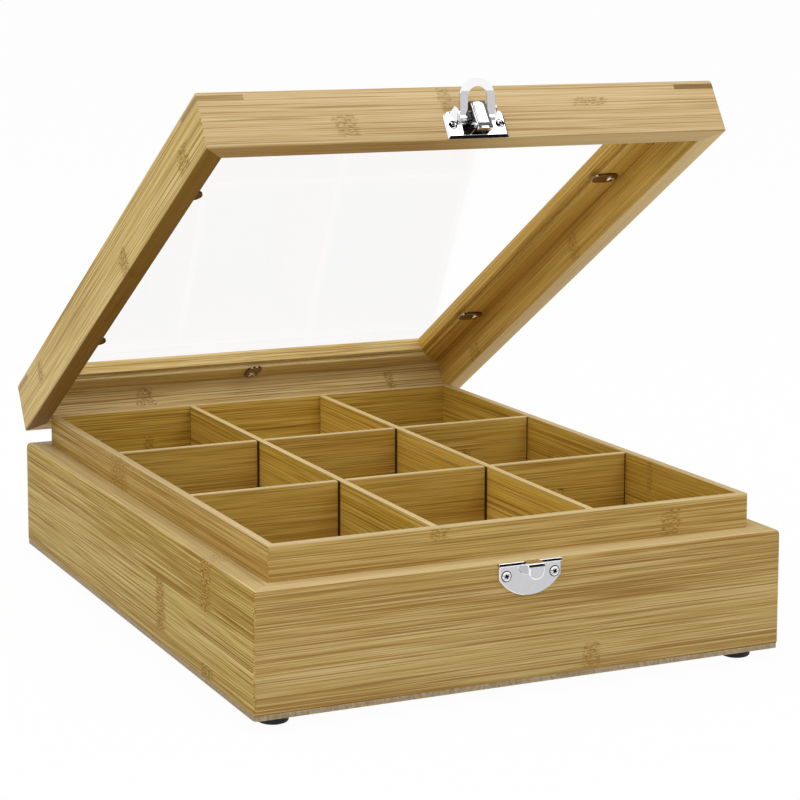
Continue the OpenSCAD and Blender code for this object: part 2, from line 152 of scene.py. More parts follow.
class Signal:
    """A shader node's output. Sums and products with it make Math nodes."""

    def __init__(self, finish, socket):
        self.finish, self.socket = finish, socket

    def math(self, operation, *values):
        return self.finish.node("ShaderNodeMath", {"operation": operation}, dict(enumerate(values)))

    def __add__(self, other):
        return self.math("ADD", self, other)

    def __sub__(self, other):
        return self.math("SUBTRACT", self, other)

    def __rsub__(self, other):
        return self.math("SUBTRACT", other, self)

    def __mul__(self, other):
        return self.math("MULTIPLY", self, other)

    def __truediv__(self, other):
        return self.math("DIVIDE", self, other)

    __radd__, __rmul__ = __add__, __mul__

    def floor(self):
        return self.math("FLOOR", self)

    def size(self):
        return self.math("ABSOLUTE", self)

    def larger(self, other):
        return self.math("MAXIMUM", self, other)

    def ramp(self, low, high, smooth=True):
        """0 at low and 1 at high."""
        settings = {"interpolation_type": "SMOOTHSTEP" if smooth else "LINEAR"}
        return self.finish.node("ShaderNodeMapRange", settings, {0: self, 1: low, 2: high})


class Finish:
    """A material and the few calls that its nodes are made with."""

    def __init__(self, name, **constants):
        self.material = bpy.data.materials.new(name)
        self.material.use_nodes = True
        self.tree = self.material.node_tree
        self.surface = self.tree.nodes["Principled BSDF"]
        for socket, value in constants.items():
            self.surface.inputs[socket.replace("_", " ")].default_value = value

    def node(self, kind, settings, sockets, out=0):
        made = self.tree.nodes.new(kind)
        for key, value in settings.items():
            setattr(made, key, value)
        for key, value in sockets.items():
            if isinstance(value, Signal):
                self.tree.links.new(value.socket, made.inputs[key])
            else:
                made.inputs[key].default_value = value
        return Signal(self, made.outputs[out])

    def place(self):
        return self.node("ShaderNodeTexCoord", {}, {}, "Object")

    def parts(self, vector):
        split = self.node("ShaderNodeSeparateXYZ", {}, {0: vector})
        return [Signal(self, split.socket.node.outputs[i]) for i in range(3)]

    def vector(self, x, y, z):
        return self.node("ShaderNodeCombineXYZ", {}, {0: x, 1: y, 2: z})

    def noise(self, vector, scale=1.0, detail=2.0, roughness=0.5):
        sockets = {"Vector": vector, "Scale": scale, "Detail": detail, "Roughness": roughness}
        return self.node("ShaderNodeTexNoise", {}, sockets)

    def blend(self, amount, first, second):
        return self.node("ShaderNodeMix", {"data_type": "RGBA"}, {0: amount, 6: first, 7: second}, 2)

    def bump(self, height, strength, distance):
        sockets = {"Strength": strength, "Distance": distance, "Height": height}
        self.feed("Normal", self.node("ShaderNodeBump", {}, sockets))

    def feed(self, socket, signal):
        self.tree.links.new(signal.socket, self.surface.inputs[socket])


STRIP_WIDTH, FIRST_STRIP, PAINTED_GAP_SHADE_TOP = 0.0215, 0.0083, 0.0651
# Thin lines are grain; the second colour is a painted highlight for lit upper edges, the third painted
# shade in the gaps where boards meet.
THIN_LINE, PAINTED_HIGHLIGHT, PAINTED_GAP_SHADE = tone(146, 105, 34), tone(224, 204, 158), tone(56, 36, 14)
KNUCKLE, KNUCKLE_SPECK, KNUCKLE_DARK = tone(166, 124, 48), tone(152, 112, 26), tone(120, 84, 12)


def bamboo(name, grain, dark, mid, light, seed, knuckles=(), strips=FIRST_STRIP, turned=None,
           contrast=1.0, top=None, under=None, reach=1.0, bold=1.0, gloss=0.28, joints=()):
    """Laminated bamboo in strips, each with its own tone, with long fibres, thin lines and knuckles.

    A knuckle is (place along the grain, low, high, width) in millimetres, low and high being heights.
    strips is the height in metres of a seam between two strips.
    turned is (angle, turning centre) for a board that lies along a turned frame, such as the open lid.
    top is (height in metres, strength) of an upper edge painted lighter: a painted highlight for the sheen
    on lit edges.
    under is (height in metres, strength, colour, colour at the far end) of painted light and shade on a
    lower edge.
    reach scales the fibres' length, bold the knuckles' strength, and gloss is the varnish's.
    joints are (distance from the middle, half width) in millimetres of painted shade lines in the gaps
    where boards meet."""
    wood = Finish(name, Specular_IOR_Level=gloss)
    place = wood.place()
    if turned:
        angle, centre = turned
        shift = centre - Matrix.Rotation(angle, 3, "X") @ centre
        sockets = {0: place, 1: shift, 2: (angle, 0, 0)}
        place = wood.node("ShaderNodeMapping", {"vector_type": "POINT"}, sockets)
    x, y, z = wood.parts(place)
    along, aside = (x, y) if grain == "x" else (y, x)
    strip_z, strip_aside = (z - strips) / STRIP_WIDTH, (aside.size() - 0.002) / STRIP_WIDTH
    strip = strip_z.floor() * 3.71 + strip_aside.floor() * 9.13 + seed
    own = wood.node("ShaderNodeTexWhiteNoise", {"noise_dimensions": "1D"}, {"W": strip})

    def streaks(lengthways, crossways, detail, shift):
        forward = along * (lengthways / reach) + own * 47 + seed * 3.3 + shift
        spot = wood.vector(forward, aside * crossways, z * crossways)
        return wood.noise(spot, detail=detail, roughness=0.6)

    broad = streaks(6, 190, 2, 0)
    fibre = streaks(11, 1350, 2, 11)
    fine = streaks(40, 2700, 1, 23)
    mixed = (own - 0.5) * 0.3 + (broad - 0.5) * 0.6 + (fibre - 0.5) * 1.7 + (fine - 0.5) * 1.3
    level = mixed * contrast + 0.5
    colour = wood.blend(level.ramp(0.05, 0.5, smooth=False), dark, mid)
    colour = wood.blend(level.ramp(0.5, 0.95, smooth=False), colour, light)
    lines = streaks(11, 1700, 0, 37).ramp(0.58, 0.66) * min(0.8 * contrast, 1)
    colour = wood.blend(lines, colour, THIN_LINE)
    pale_lines = streaks(12, 1800, 0, 59).ramp(0.6, 0.68) * min(0.6 * contrast, 1)
    colour = wood.blend(pale_lines, colour, light)
    if knuckles:
        ragged = wood.noise(wood.vector(along * 140, aside * 380, z * 380), detail=3, roughness=0.7)
        speck = wood.noise(wood.vector(along * 520, aside * 1500, z * 1500), detail=2)
        mask = None
        for spot, low, high, width in knuckles:
            nudged = along + (ragged - 0.5) * (0.0011 * width)
            near = (nudged - spot * MM).size().ramp(width * 0.0006, width * 0.00035)
            inside = z.math("COMPARE", z, (low + high) / 2 * MM, (high - low) / 2 * MM)
            mask = near * inside if mask is None else mask.larger(near * inside)
        colour = wood.blend(mask * (0.2 * bold), colour, KNUCKLE)
        colour = wood.blend(mask * speck.ramp(0.4, 0.6) * (0.5 * bold), colour, KNUCKLE_SPECK)
        colour = wood.blend(mask * speck.ramp(0.52, 0.66) * (0.5 * bold), colour, KNUCKLE_DARK)
        colour = wood.blend(mask * speck.ramp(0.44, 0.34) * (0.4 * bold), colour, light)
    # Painted highlight: the upper edge is made lighter where the light catches it.
    if top:
        height, strength = top
        colour = wood.blend((z - height).ramp(-0.0008, -0.0004) * strength, colour, PAINTED_HIGHLIGHT)
    # Painted light and shade on the lower edge, blended along the board from one colour to the other.
    if under:
        height, strength, shade, far_shade = under
        shade = wood.blend(along.ramp(-0.03, 0.03), shade, far_shade)
        colour = wood.blend((z - height).ramp(0.0003, 0) * strength, colour, shade)
    # Painted shade: dark lines in the gaps where boards meet.
    for spot, half in joints:
        near = (along.size() - spot * MM).size().ramp((half + 0.2) * MM, (half - 0.1) * MM)
        below = (z - PAINTED_GAP_SHADE_TOP).ramp(0.0003, 0)
        colour = wood.blend(near * below * 0.88, colour, PAINTED_GAP_SHADE)
    wood.feed("Base Color", colour)
    wood.feed("Roughness", 0.4 + fibre * 0.16)
    wood.bump(fibre + fine * 0.6, 0.3, 0.00012)
    return wood.material


BODY_TONES = tone(152, 113, 46), tone(187, 155, 86), tone(213, 188, 130)
# The side walls take a darker, more olive copy of the wall wood: painted shade on the sides.
SHADED_SIDE_TONES = tone(140, 103, 22), tone(180, 151, 74), tone(214, 191, 124)
# A painted highlight along the walls' upper edge.
WALL_TOP_HIGHLIGHT = (LEDGE * MM, 0.45)
wall_outline = eased_outline([
    (0, PANEL_TOP, 0.4), (0, LEDGE, 2.2), (WALL, LEDGE, 0.3), (WALL, PANEL_TOP, 0)])
wall_knuckles = [
    [(28.5, 2.6, 13.6, 8)],
    [(40, 8, 30, 9), (-95, 30, 52, 10)],
    [(-20, 8, 30, 8), (88, 30, 52, 7)],
    [(-101.3, 30, 52, 11), (-46.4, 8, 30, 10), (-101.8, 2, 8, 12)],
]
wall_wood = [
    bamboo("bamboo front wall", "x", *BODY_TONES, 3, wall_knuckles[0], contrast=0.9, top=WALL_TOP_HIGHLIGHT, reach=1.3),
    bamboo("bamboo right wall", "y", *SHADED_SIDE_TONES, 14, wall_knuckles[1], contrast=1.1, top=WALL_TOP_HIGHLIGHT,
           reach=1.5, bold=1.5, gloss=0.04),
    bamboo("bamboo back wall", "x", *BODY_TONES, 25, wall_knuckles[2], top=WALL_TOP_HIGHLIGHT),
    bamboo("bamboo left wall", "y", *SHADED_SIDE_TONES, 36, wall_knuckles[3], contrast=1.15, top=WALL_TOP_HIGHLIGHT,
           reach=1.5, bold=1.5, gloss=0.04),
]
for side, where in enumerate(SIDES):
    board = mitred_board(side, BOX_WIDTH, BOX_DEPTH, wall_outline, WALL_CORNER)
    finished(f"{where}_wall", board, wall_wood[side], "base", f"body_{where}_wall", slot="bamboo_body")


# Liner
# Four thin bamboo boards, glued inside the walls.
# They stand 14.6 mm above the ledge and centre the closed lid.
LINER_TOP, LINER, LINER_CORNER = 66.1, 3.4, 0.8
LINER_TONES = tone(148, 109, 34), tone(183, 148, 76), tone(210, 181, 112)
# The right and back liners, seen from inside, take a warmer, more saturated copy of the liner wood: painted
# bounce light.
INNER_BOUNCE_TONES = tone(156, 114, 22), tone(198, 159, 60), tone(220, 190, 92)
# A painted highlight along the liners' top edge.
LINER_TOP_HIGHLIGHT = (LINER_TOP * MM, 0.6)
liner_outline = eased_outline([
    (0, PANEL_TOP, 0), (0, LINER_TOP, 0.6), (LINER, LINER_TOP, 0.6), (LINER, PANEL_TOP, 0)])
liner_wood = [
    bamboo("bamboo front liner", "x", *LINER_TONES, 4, [(72.4, 52, 63, 9), (-36.3, 60.5, 66.5, 8)],
           contrast=0.85, top=LINER_TOP_HIGHLIGHT, reach=1.3),
    bamboo("bamboo right liner", "y", *INNER_BOUNCE_TONES, 15, [(22, 30, 52, 5), (-70, 52, 67, 4)],
           contrast=0.85, top=LINER_TOP_HIGHLIGHT, reach=1.5),
    bamboo("bamboo back liner", "x", *INNER_BOUNCE_TONES, 26, [(-60, 30, 52, 5)], contrast=0.85, top=LINER_TOP_HIGHLIGHT),
    bamboo("bamboo left liner", "y", *LINER_TONES, 37, [(38.3, 52, 67, 24)], contrast=0.95, top=LINER_TOP_HIGHLIGHT,
           reach=1.5, bold=1.2, gloss=0.05),
]
for side, where in enumerate(SIDES):
    board = mitred_board(side, BOX_WIDTH - 2 * WALL, BOX_DEPTH - 2 * WALL, liner_outline, LINER_CORNER)
    finished(f"{where}_liner", board, liner_wood[side], "base", f"liner_{where}", slot="bamboo_inside")


# Dividers
# Two lengthwise and two cross boards of bamboo, 3 mm thick, halved over each other.
# The cross boards' slots are a little wide, which leaves a gap beside each lengthwise board, darkened with
# painted shade.
DIVIDER_TOP, DIVIDER, TIGHT_SLOT, WIDE_SLOT = 65.6, 3.0, 1.6, 2.4
INSIDE_WIDTH = BOX_WIDTH - 2 * (WALL + LINER)
INSIDE_DEPTH = BOX_DEPTH - 2 * (WALL + LINER)
ACROSS_PLACE = (INSIDE_WIDTH + DIVIDER) / 6
ALONG_PLACE = (INSIDE_DEPTH + DIVIDER) / 6
HALVED = (PANEL_TOP + DIVIDER_TOP) / 2
GRID_TONES = tone(166, 125, 36), tone(208, 171, 78), tone(227, 199, 116)
# The lengthwise dividers take a lighter copy of the divider wood: painted light on their lit sides.
LIT_LONG_TONES = tone(190, 147, 40), tone(233, 193, 82), tone(244, 215, 122)
# A painted highlight along the dividers' top edge.
DIVIDER_TOP_HIGHLIGHT = (DIVIDER_TOP * MM, 0.6)


def slotted_board(length, slots, from_above):
    """A board's side outline, with its slots, as (along, height) points."""
    low, high = PANEL_TOP, DIVIDER_TOP
    edge, far = (high, low) if from_above else (low, high)
    outline = [Vector((-length / 2, edge))]
    for start, end in slots:
        outline += [Vector(p) for p in ((start, edge), (start, HALVED), (end, HALVED), (end, edge))]
    return outline + [Vector((length / 2, edge)), Vector((length / 2, far)), Vector((-length / 2, far))]


def sheet_of(loops, levels, lift):
    """A flat piece with holes. loops are its outline and holes, one copy for each of the levels.

    lift turns (across, up, level) into a point in millimetres."""
    shape = bmesh.new()
    rows = []
    for level, rings in zip(levels, loops):
        rows.append([[shape.verts.new(lift(p[0], p[1], level)) for p in ring] for ring in rings])
    for row, rings in ((rows[0], loops[0]), (rows[-1], loops[-1])):
        corners = [vert for ring in row for vert in ring]
        for face in tessellate_polygon([[Vector((*p[:2], 0)) for p in ring] for ring in rings]):
            shape.faces.new([corners[i] for i in face])
    for row, ahead in zip(rows, rows[1:]):
        for ring, other in zip(row, ahead):
            for i in range(len(ring)):
                j = (i + 1) % len(ring)
                shape.faces.new((ring[i], ring[j], other[j], other[i]))
    return shape


# Both carry painted shade lines where the boards cross, beside the slot gaps and where they meet the
# liners.
long_wood = bamboo("bamboo lengthwise dividers", "y", *LIT_LONG_TONES, 51, [(-20, 8, 30, 4), (112, 30, 52, 4)],
                   contrast=0.8, top=DIVIDER_TOP_HIGHLIGHT, reach=1.5,
                   joints=[(ALONG_PLACE, 1.9), (INSIDE_DEPTH / 2, 0.6)])
cross_wood = bamboo("bamboo cross dividers", "x", *GRID_TONES, 62, [(72, 30, 52, 5), (-100, 8, 30, 4)],
                    contrast=0.72, top=DIVIDER_TOP_HIGHLIGHT, joints=[(INSIDE_WIDTH / 2, 0.6)])
faces = (-DIVIDER / 2, DIVIDER / 2)
for i, where in ((-1, "left"), (1, "right")):
    slots = [(j * ALONG_PLACE - TIGHT_SLOT, j * ALONG_PLACE + TIGHT_SLOT) for j in (-1, 1)]
    outline = slotted_board(INSIDE_DEPTH, slots, from_above=False)
    board = sheet_of([[outline]] * 2, faces, lambda a, up, level: (i * ACROSS_PLACE + level, a, up))
    finished(f"{where}_lengthwise_divider", board, long_wood, "base", f"divider_long_{where}",
             slot="bamboo_inside", bevel=0.35)
for j, where in ((-1, "front"), (1, "back")):
    slots = [(i * ACROSS_PLACE - WIDE_SLOT, i * ACROSS_PLACE + TIGHT_SLOT) for i in (-1, 1)]
    outline = slotted_board(INSIDE_WIDTH, slots, from_above=True)
    board = sheet_of([[outline]] * 2, faces, lambda a, up, level: (a, j * ALONG_PLACE + level, up))
    finished(f"{where}_cross_divider", board, cross_wood, "base", f"divider_cross_{where}",
             slot="bamboo_inside", bevel=0.35)


# Bottom panel
# One sheet of thin plywood, glued under the walls. Its edge shows all round, grey-brown end grain.
PANEL_CORNER = 2.0
ply = Finish("plywood")
x, y, z = ply.parts(ply.place())
end_grain = ply.noise(ply.vector(x * 1100, y * 1100, z * 350), detail=3, roughness=0.65)
patches = ply.noise(ply.vector(x * 45, y * 45, z * 300), detail=2)
colour = ply.blend(end_grain.ramp(0.3, 0.7), tone(148, 128, 94), tone(186, 167, 134))
colour = ply.blend(patches.ramp(0.45, 0.7) * 0.4, colour, tone(140, 118, 82))
middle_ply = 1 - (z - 0.0011).size().ramp(0.0003, 0.0005)
colour = ply.blend(middle_ply * 0.15, colour, tone(136, 114, 80))
ply.feed("Base Color", colour)
ply.feed("Roughness", 0.55 + end_grain * 0.2)
ply.bump(end_grain, 0.3, 0.0001)
half_w, half_d = BOX_WIDTH / 2, BOX_DEPTH / 2
ROUND_ORDER = ((-1, -1), (1, -1), (1, 1), (-1, 1))
panel_outline = eased_outline([(i * half_w, j * half_d, PANEL_CORNER) for i, j in ROUND_ORDER])
panel = sheet_of([[panel_outline]] * 2, (0, PANEL_TOP), lambda a, b, level: (a, b, level))
finished("bottom_panel_sheet", panel, ply.material, "base", "bottom_panel", slot="plywood", bevel=0.2)


# Feet
# Four black rubber discs, stuck under the bottom panel.
FOOT_HEIGHT, FOOT_INSET, FOOT_SPOKES = 5.0, 13.0, 40
CORNERS = ((-1, -1, "front_left"), (1, -1, "front_right"), (-1, 1, "back_left"), (1, 1, "back_right"))
rubber = Finish("rubber feet", Roughness=0.6, Specular_IOR_Level=0.35)
dust = rubber.noise(rubber.place(), scale=700, detail=3)
rubber.feed("Base Color", rubber.blend(dust.ramp(0.4, 0.8), tone(17, 17, 18), tone(46, 45, 44)))
rubber.feed("Roughness", 0.5 + dust * 0.25)
rubber.bump(dust, 0.2, 0.0001)
foot_side = [(4.2, -5.0), (5.3, -4.95), (5.9, -4.7), (6.2, -4.3), (6.3, -3.8), (6.3, -0.2), (6.1, 0.0)]
spoke_turns = [Matrix.Rotation(math.tau * k / FOOT_SPOKES, 3, "Z") for k in range(FOOT_SPOKES)]
for i, j, where in CORNERS:
    centre = Vector((i * (half_w - FOOT_INSET), j * (half_d - FOOT_INSET), 0))
    rings = [[centre + turn @ Vector((radius, 0, up)) for turn in spoke_turns] for radius, up in foot_side]
    finished(f"rubber_foot_{where}", skin_over(rings), rubber.material, "base", f"foot_{where}",
             slot="rubber")


# Lid rails
# Four bamboo rails, mitred: a side wall with a flange at the top that runs in to the window.
# A step on the flange's inner edge takes the glass from below. The lid stands open on its hinges.
hinge = next(joint for joint in frame["joints"] if joint["name"] == "lid_hinge")
HINGE_AXIS = Vector(hinge["pos_m"])
LID_ANGLE = math.radians(31.5)
LID_RIM, LID_HEIGHT, RAIL, LID_CORNER = 51.8, 25.2, 9.4, 1.0
FLANGE_UNDER, STEP, STEP_INSET, WINDOW_INSET = 16.3, 18.5, 22.0, 25.0
about_hinge = Matrix.Translation(HINGE_AXIS / MM)
OPENED = about_hinge @ Matrix.Rotation(-LID_ANGLE, 4, "X") @ about_hinge.inverted()
LID_TURN = (LID_ANGLE, HINGE_AXIS)
LID_TONES = tone(168, 132, 68), tone(202, 172, 118), tone(220, 196, 152)
rail_outline = eased_outline([
    (0, LID_RIM, 0.9), (0, LID_RIM + LID_HEIGHT, 1.3), (WINDOW_INSET, LID_RIM + LID_HEIGHT, 0.8),
    (WINDOW_INSET, LID_RIM + STEP, 0.3), (STEP_INSET, LID_RIM + STEP, 0),
    (STEP_INSET, LID_RIM + FLANGE_UNDER, 0.5), (RAIL, LID_RIM + FLANGE_UNDER, 0), (RAIL, LID_RIM, 0.6),
])
LID_STRIPS = 0.0436
RIM_TOP = (LID_RIM + 0.1) * MM
# Painted light and shade on the rails' lower edges: shade on the front rail fading to the right, a
# highlight on the right rail, darker shade on the left rail.
FRONT_RIM_PAINTED_SHADE = (RIM_TOP, 0.6, tone(148, 108, 40), tone(208, 178, 112))
RIGHT_RIM_PAINTED_HIGHLIGHT = (RIM_TOP, 0.45, tone(240, 224, 186), tone(240, 224, 186))
LEFT_RIM_PAINTED_SHADE = (RIM_TOP, 0.9, tone(122, 86, 26), tone(122, 86, 26))
# The back and left rails take a lighter copy of the lid wood: painted light.
LIT_LID_SIDE_TONES = tone(178, 142, 62), tone(220, 192, 122), tone(240, 220, 166)
# The right rail takes a warmer, more saturated copy of the lid wood: painted bounce light.
LID_INNER_BOUNCE_TONES = tone(178, 136, 44), tone(216, 177, 86), tone(234, 204, 126)
rail_knuckles = [
    [(-58, 55, 64.8, 10), (56.5, 66, 70, 16), (-11.5, 65, 76, 5)],
    [(-22, 52, 65, 9), (100, 52, 60, 12)],
    [(-57.3, 57, 67, 9), (80, 52, 65, 5)],
    [(-128, 55, 66, 13), (-36, 51, 64, 10), (111, 62, 72, 8)],
]
rail_wood = [
    bamboo("bamboo lid front rail", "x", *LID_TONES, 5, rail_knuckles[0], LID_STRIPS, LID_TURN, 0.75,
           under=FRONT_RIM_PAINTED_SHADE, reach=1.3, bold=0.8),
    bamboo("bamboo lid right rail", "y", *LID_INNER_BOUNCE_TONES, 16, rail_knuckles[1], LID_STRIPS, LID_TURN, 0.6,
           under=RIGHT_RIM_PAINTED_HIGHLIGHT, reach=1.3, bold=0.7, gloss=0.05),
    bamboo("bamboo lid back rail", "x", *LIT_LID_SIDE_TONES, 27, rail_knuckles[2], LID_STRIPS, LID_TURN, 0.85),
    bamboo("bamboo lid left rail", "y", *LIT_LID_SIDE_TONES, 38, rail_knuckles[3], LID_STRIPS, LID_TURN, 0.9,
           under=LEFT_RIM_PAINTED_SHADE, reach=1.5, bold=1.2, gloss=0.05),
]
for side, where in enumerate(SIDES):
    board = mitred_board(side, BOX_WIDTH, BOX_DEPTH, rail_outline, LID_CORNER)
    finished(f"lid_rail_{where}", board, rail_wood[side], "lid", f"lid_{where}_rail",
             slot="bamboo_lid", move=OPENED)


# Corner keys
# Triangles of darker bamboo, glued into saw cuts across the lid's corners and sanded flush.
KEY_LEG, KEY_LOW, KEY_THICK, PROUD = 20.0, 72.7, 2.4, 0.03
KEY_TONES = tone(144, 112, 62), tone(168, 138, 88), tone(184, 156, 106)
# The front right key takes a darker copy of the keys' wood: painted shade.
SHADED_KEY_TONES = tone(112, 82, 38), tone(142, 110, 62), tone(164, 134, 86)
key_wood = bamboo("bamboo corner keys", "x", *KEY_TONES, 71, turned=LID_TURN)
shaded_key_wood = bamboo("dark bamboo corner key", "x", *SHADED_KEY_TONES, 71, turned=LID_TURN)
for i, j, where in CORNERS:
    corner = Vector((i * (half_w + PROUD), j * (half_d + PROUD)))
    plan = eased_outline([
        (*corner, 1.0), (corner.x - i * KEY_LEG, corner.y, 0), (corner.x, corner.y - j * KEY_LEG, 0)])
    key = sheet_of([[plan]] * 2, (KEY_LOW, KEY_LOW + KEY_THICK), lambda a, b, level: (a, b, level))
    wood = shaded_key_wood if where == "front_right" else key_wood
    finished(f"corner_key_{where}", key, wood, "lid", f"key_{where}", slot="bamboo_key", move=OPENED)


# Glass pane
# Clear 2 mm glass that lies in the step, held by the clips.
glass = Finish("window glass", Base_Color=(1, 1, 1, 1), Metallic=1.0, Roughness=0.015)
mirrored = glass.node("ShaderNodeFresnel", {}, {"IOR": 1.5})
glass.feed("Alpha", mirrored * 0.055 + 0.003)
frame["nodes"]["glass_pane"].data.materials.clear()
frame["nodes"]["glass_pane"].data.materials.append(glass.material)


# Metal of the latch, keeper, clips and hinges
# Chromed steel: mirror-like, with the faint waviness of pressed sheet.
def plated(name, colour, worn, roughness):
    metal = Finish(name, Metallic=1.0)
    wear = metal.noise(metal.place(), scale=420, detail=3)
    metal.feed("Base Color", metal.blend(wear.ramp(0.4, 0.8) * 0.25, colour, worn))
    metal.feed("Roughness", roughness + wear.ramp(0.45, 0.8) * 0.05)
    metal.bump(metal.noise(metal.place(), scale=160, detail=1), 0.02, 0.0002)
    return metal.material


chrome = plated("chromed steel", tone(247, 247, 247), tone(228, 228, 229), 0.04)
# Dark steel that paints shade and dark reflections on the lever's channel, the tongue's bend and the
# latch's right cheek.
painted_shade_steel = plated("shade_painted steel", tone(62, 60, 60), tone(30, 29, 29), 0.14)
# Painted shade for the screws' cross slots and the bottoms of their recesses.
slot_painted_shade = plated("screw slots", tone(52, 50, 50), tone(30, 29, 29), 0.3)
hinge_metal = plated("hinge steel", tone(200, 194, 182), tone(160, 154, 142), 0.16)
# The clips' brown colour is a painted reflection of the wood round them.
clip_painted_reflection = plated("reflection_painted clip steel", tone(128, 106, 80), tone(92, 74, 54), 0.14)


def joined(*shapes):
    """Several shapes as one."""
    whole = bmesh.new()
    for shape in shapes:
        mesh = bpy.data.meshes.new("part")
        shape.to_mesh(mesh)
        shape.free()
        whole.from_mesh(mesh)
        bpy.data.meshes.remove(mesh)
    return whole


def copied(node):
    """The named solid's shape, merged and with its flat faces joined, in millimetres."""
    shape = bmesh.new()
    shape.from_mesh(frame["nodes"][node].data)
    bmesh.ops.scale(shape, vec=(1 / MM,) * 3, verts=shape.verts)
    bmesh.ops.remove_doubles(shape, verts=shape.verts, dist=0.002)
    bmesh.ops.dissolve_limit(shape, angle_limit=math.radians(0.6), verts=shape.verts, edges=shape.edges)
    return shape


def cut(shape, tool):
    """shape less the tool."""
    stock, blade = [bpy.data.objects.new("cut", bpy.data.meshes.new("cut")) for _ in range(2)]
    for made, source in ((stock, shape), (blade, tool)):
        bmesh.ops.recalc_face_normals(source, faces=source.faces)
        source.to_mesh(made.data)
        source.free()
        bpy.context.scene.collection.objects.link(made)
    step = stock.modifiers.new("cut", "BOOLEAN")
    step.operation, step.solver, step.object = "DIFFERENCE", "EXACT", blade
    result = bmesh.new()
    result.from_mesh(stock.evaluated_get(bpy.context.evaluated_depsgraph_get()).to_mesh())
    bpy.data.objects.remove(stock)
    bpy.data.objects.remove(blade)
    return result


def circle(x, z, radius, steps=40):
    turns = [math.tau * k / steps for k in range(steps)]
    return [Vector((x + radius * math.cos(turn), z + radius * math.sin(turn))) for turn in turns]


# Keeper
# A chromed plate on the front wall with straight sides, a round lower edge and a sloping upper edge.
# A tongue bent out of its top makes a hook that opens downwards. Its screws sit in round recesses.
FRONT = -BOX_DEPTH / 2
KEEPER_X, KEEPER_TOP, KEEPER_HALF, KEEPER_ROUND, KEEPER_ARC = -0.6, 51.2, 14.2, 16.9, 53.7
KEEPER_SCREW_X, KEEPER_SCREW_Z, RECESS = 10.95, 45.8, 2.35


def keeper_outline(inset, top):
    """The plate's front outline, drawn in by inset from its sides and round edge."""
    half, radius = KEEPER_HALF - inset, KEEPER_ROUND - inset
    side = math.asin(half / radius)
    arc = [side * (1 - k / 24) for k in range(49)]
    turns = [Vector((radius * math.sin(a), KEEPER_ARC - radius * math.cos(a))) for a in arc]
    return [Vector((-half, top)), Vector((half, top)), *turns]


def out_of_front(middle):
    """A function that turns (across, height, distance out) into a point on the front, round the middle."""
    return lambda across, up, out: (middle + across, FRONT - out, up)


rim = [(0.0, 0.0, 0.0), (0.35, 0.0, 0.25), (0.7, 0.18, 0.6), (0.92, 0.45, 0.75), (1.0, 0.8, 0.85)]
keeper_holes = [circle(i * KEEPER_SCREW_X, KEEPER_SCREW_Z, RECESS) for i in (-1, 1)]
levels = [level for level, inset, drop in rim]
loops = [[keeper_outline(inset, KEEPER_TOP - drop), *keeper_holes] for level, inset, drop in rim]
plate = sheet_of(loops, levels, out_of_front(KEEPER_X))

lip_side = eased_outline([
    (0.2, KEEPER_TOP, 0), (0.8, KEEPER_TOP, 0.1), (1.08, 50.95, 0.08), (1.6, 49.83, 0.1),
    (1.3, 49.6, 0), (0.2, 49.5, 0)])
lip = skin_over([[(KEEPER_X + x, FRONT - out, up) for out, up in lip_side]
                 for x in (-KEEPER_HALF, KEEPER_HALF)])

TONGUE_X, TONGUE_HALF, TONGUE_OUT, TONGUE_END = -0.25, 3.55, 5.9, 44.3
TONGUE_SHEET, TONGUE_BEND, BEND_STEPS = 1.0, 1.9, 8
bend_path = [(0.6, KEEPER_TOP, 0, 1)]
for k in range(BEND_STEPS + 1):
    angle = math.pi / 2 * (1 - k / BEND_STEPS)
    outwards, upwards = math.cos(angle), math.sin(angle)
    out, up = TONGUE_OUT - TONGUE_BEND * (1 - outwards), KEEPER_TOP - TONGUE_BEND * (1 - upwards)
    bend_path.append((out, up, outwards, upwards))
bend_rings = []
for out, up, outwards, upwards in bend_path:
    outer = [(TONGUE_X + x, FRONT - out, up) for x in (-TONGUE_HALF, TONGUE_HALF)]
    inner = [(TONGUE_X + x, FRONT - out + TONGUE_SHEET * outwards, up - TONGUE_SHEET * upwards)
             for x in (TONGUE_HALF, -TONGUE_HALF)]
    bend_rings.append(outer + inner)
bend = skin_over(bend_rings)


def tongue_outline(inset):
    """The tongue's front outline, a half round below straight sides."""
    half = TONGUE_HALF - inset
    turns = [math.pi * k / 32 for k in range(33)]
    low = [Vector((half * math.cos(a), TONGUE_END + TONGUE_HALF - half * math.sin(a))) for a in turns]
    return [Vector((-half, KEEPER_TOP - TONGUE_BEND)), Vector((half, KEEPER_TOP - TONGUE_BEND)), *low]


tongue_rim = [(-TONGUE_SHEET, 0.25), (-0.75, 0), (-0.5, 0), (-0.28, 0.06), (-0.03, 0.52), (0, 0.62)]
levels = [TONGUE_OUT + level for level, inset in tongue_rim]
flap = sheet_of([[tongue_outline(inset)] for level, inset in tongue_rim], levels, out_of_front(TONGUE_X))
finished("keeper_hook_plate", joined(plate, lip), chrome, "base", "keeper_plate",
         slot="chrome", bevel=0.1, sharp=14)
tongue = finished("keeper_tongue", joined(bend, flap), chrome, "base", slot="chrome", sharp=20)
# The tongue's forward-facing bend takes the dark steel: a painted dark reflection.
tongue.data.materials.append(painted_shade_steel)
for face in tongue.data.polygons:
    face.material_index = int(0.2 < face.normal.z < 0.7 and face.normal.y < 0)


def screw_seats(name, body, middle, across, up, radius, height, move=None):
    """Rings of painted shade at the bottom of the round recesses that a plate's two screws sit in."""
    discs = [[circle(i * across, up, edge, 32) for edge in (radius - 0.05, 1.0)] for i in (-1, 1)]
    rings = [sheet_of([disc] * 2, (0.05, height), out_of_front(middle)) for disc in discs]
    finished(name, joined(*rings), slot_painted_shade, body, slot="chrome", move=move)


